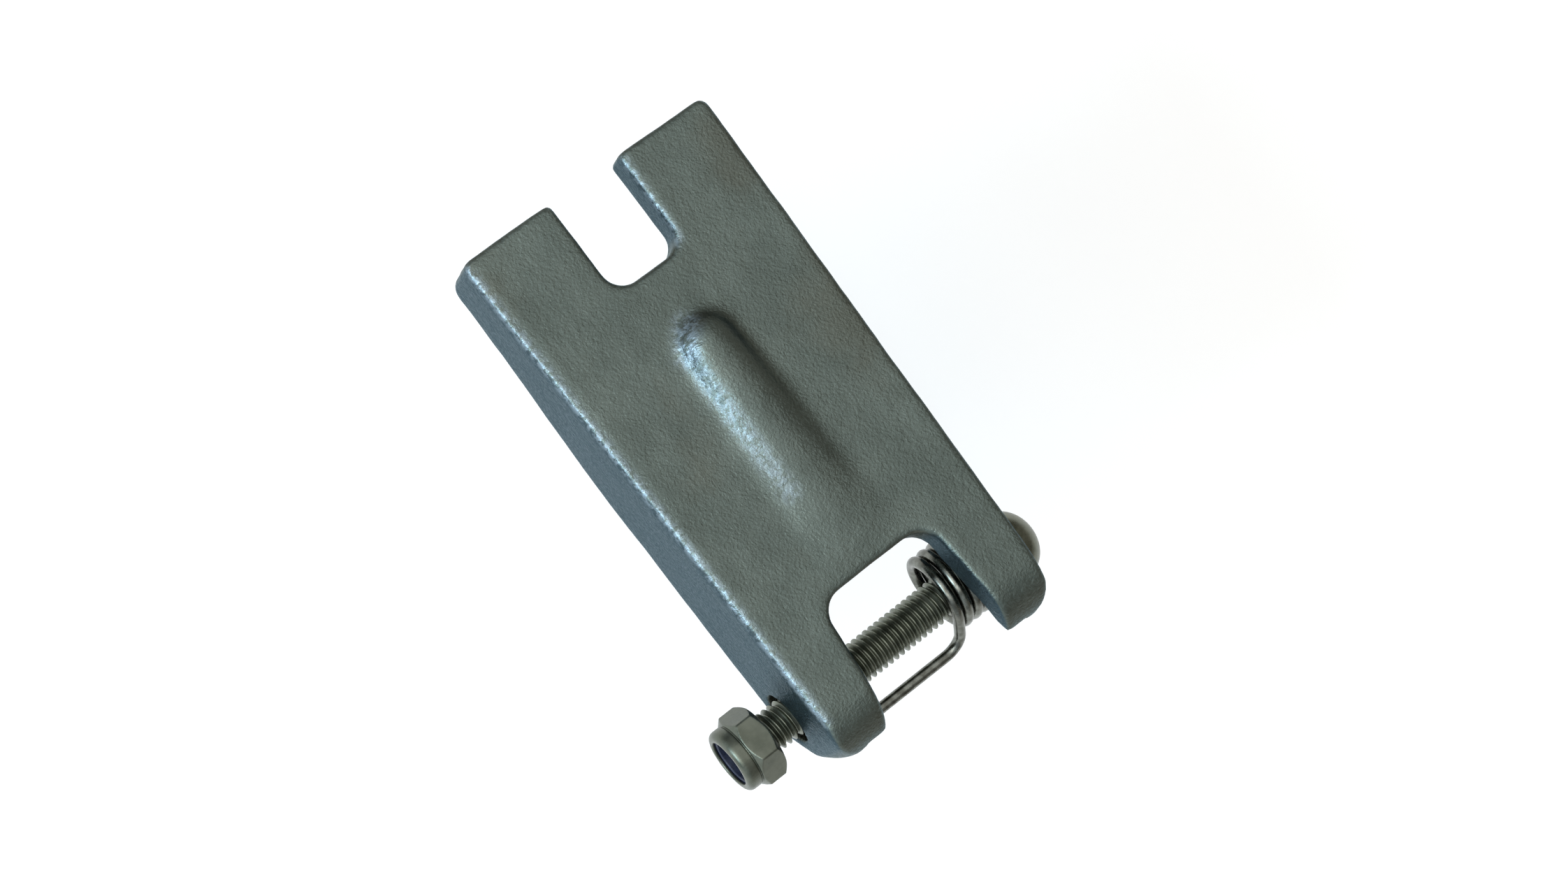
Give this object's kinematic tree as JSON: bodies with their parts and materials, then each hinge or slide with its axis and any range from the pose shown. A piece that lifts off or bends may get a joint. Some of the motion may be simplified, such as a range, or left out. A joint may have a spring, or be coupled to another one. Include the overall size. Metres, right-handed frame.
{
  "type": "hook safety latch kit",
  "caption": "Forged steel safety latch for a lifting hook: notched tip, forked pivot end, threaded pivot screw with a lock nut, and a torsion spring.",
  "frame": {"origin": "on the pivot axis, midway across the fork", "axes": "+X along the pivot screw towards its head, +Y from the pivot to the latch's tip, +Z out of the latch's outer face"},
  "size_m": [0.054, 0.0831, 0.0232],
  "materials": {
    "latch": "zinc plated forging, dull grey with a fine pitted skin",
    "screw": "zinc plated, dark, rolled thread",
    "nut": "zinc plated, smooth olive grey",
    "ring": "dark blue nylon",
    "spring": "bright drawn spring wire"
  },
  "bodies": {
    "pivot": {"pivot_screw": "screw", "torsion_spring": "spring"},
    "latch": {"latch_body": "latch"},
    "nut_carrier": {"nylon_ring": "ring"},
    "nut": {"lock_nut": "nut"}
  },
  "joints": [
    {"name": "latch_swing", "type": "hinge", "parent": "pivot", "child": "latch", "pos_m": [0, 0, 0], "axis": [1, 0, 0], "range_deg": [-70, 0], "stiffness_Nm_per_rad": 0.7, "deforming": ["torsion_spring"]},
    {"name": "nut_travel", "type": "slide", "parent": "pivot", "child": "nut_carrier", "axis": [1, 0, 0], "range_m": [-0.0024, 0.0034]},
    {"name": "nut_turn", "type": "hinge", "parent": "nut_carrier", "child": "nut", "pos_m": [-0.0258, 0, 0], "axis": [1, 0, 0], "range_deg": [-866, 1226]}
  ],
  "couplings": [
    {"joint": "nut_turn", "follows": "nut_travel", "rad_per_m": 6283.2}
  ]
}
